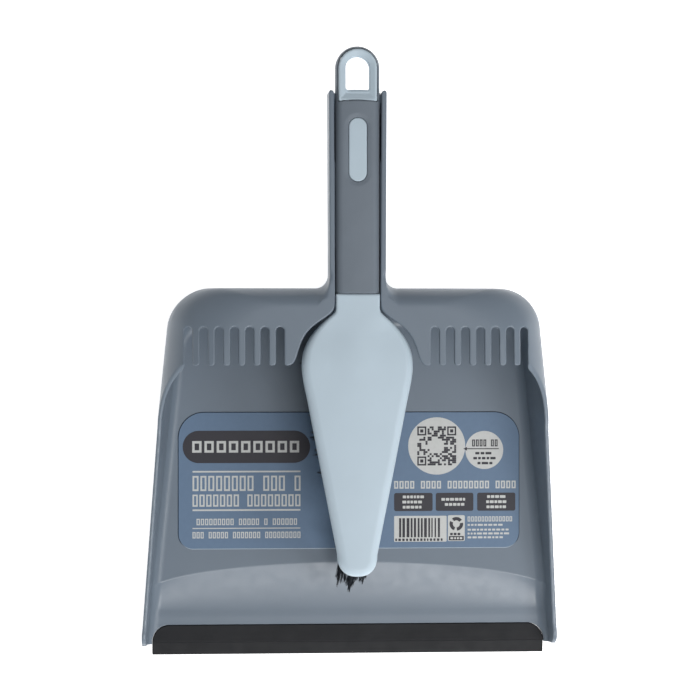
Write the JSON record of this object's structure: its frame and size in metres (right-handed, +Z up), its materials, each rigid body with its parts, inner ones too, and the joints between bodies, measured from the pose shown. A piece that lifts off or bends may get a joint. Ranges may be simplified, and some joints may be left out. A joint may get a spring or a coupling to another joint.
{
  "type": "dustpan and brush",
  "caption": "Hooded dustpan with a comb edge, rubber lip and trough handle that holds a pointed hand brush with a soft grip and hang loop.",
  "frame": {"origin": "centre of the ground under the whole set, at the height of the floor it lies on", "axes": "+Z up from the floor, +Y along the handle away from the lip, +X to the right when looking from the lip"},
  "size_m": [0.2584, 0.3711, 0.084],
  "materials": {
    "pan_plastic": "satin blue-grey moulded plastic",
    "pale_blue_plastic": "smooth pale blue moulded plastic",
    "grip_rubber": "matt slate grey soft-touch overmould",
    "lip_rubber": "matt charcoal flexible rubber",
    "black_bristle": "black synthetic filament",
    "printed_card": "printed blue card, satin"
  },
  "bodies": {
    "dustpan": {"pan_shell": "pan_plastic", "rubber_lip": "lip_rubber"},
    "brush": {"brush_core": "pale_blue_plastic", "grip_sleeve": "grip_rubber", "bristle_tuft_01": "black_bristle", "bristle_tuft_02": "black_bristle", "bristle_tuft_03": "black_bristle", "bristle_tuft_04": "black_bristle", "bristle_tuft_05": "black_bristle", "bristle_tuft_06": "black_bristle", "bristle_tuft_07": "black_bristle", "bristle_tuft_08": "black_bristle", "bristle_tuft_09": "black_bristle", "bristle_tuft_10": "black_bristle", "bristle_tuft_11": "black_bristle", "bristle_tuft_12": "black_bristle", "bristle_tuft_13": "black_bristle", "bristle_tuft_14": "black_bristle", "bristle_tuft_15": "black_bristle", "bristle_tuft_16": "black_bristle", "bristle_tuft_17": "black_bristle", "bristle_tuft_18": "black_bristle", "bristle_tuft_19": "black_bristle", "bristle_tuft_20": "black_bristle", "bristle_tuft_21": "black_bristle", "bristle_tuft_22": "black_bristle", "bristle_tuft_23": "black_bristle", "bristle_tuft_24": "black_bristle", "bristle_tuft_25": "black_bristle", "bristle_tuft_26": "black_bristle", "bristle_tuft_27": "black_bristle", "bristle_tuft_28": "black_bristle", "bristle_tuft_29": "black_bristle", "bristle_tuft_30": "black_bristle", "bristle_tuft_31": "black_bristle", "bristle_tuft_32": "black_bristle", "bristle_tuft_33": "black_bristle", "bristle_tuft_34": "black_bristle", "bristle_tuft_35": "black_bristle", "bristle_tuft_36": "black_bristle", "bristle_tuft_37": "black_bristle", "bristle_tuft_38": "black_bristle", "bristle_tuft_39": "black_bristle", "bristle_tuft_40": "black_bristle", "bristle_tuft_41": "black_bristle", "bristle_tuft_42": "black_bristle", "bristle_tuft_43": "black_bristle", "bristle_tuft_44": "black_bristle", "bristle_tuft_45": "black_bristle"},
    "card": {"label_card": "printed_card"}
  },
  "joints": [
    {"name": "brush_lift", "type": "slide", "parent": "dustpan", "child": "brush", "axis": [0, 0, 1], "range_m": [0, 0.13]},
    {"name": "card_out", "type": "slide", "parent": "dustpan", "child": "card", "axis": [0, -1, 0], "range_m": [0, 0.2]}
  ]
}
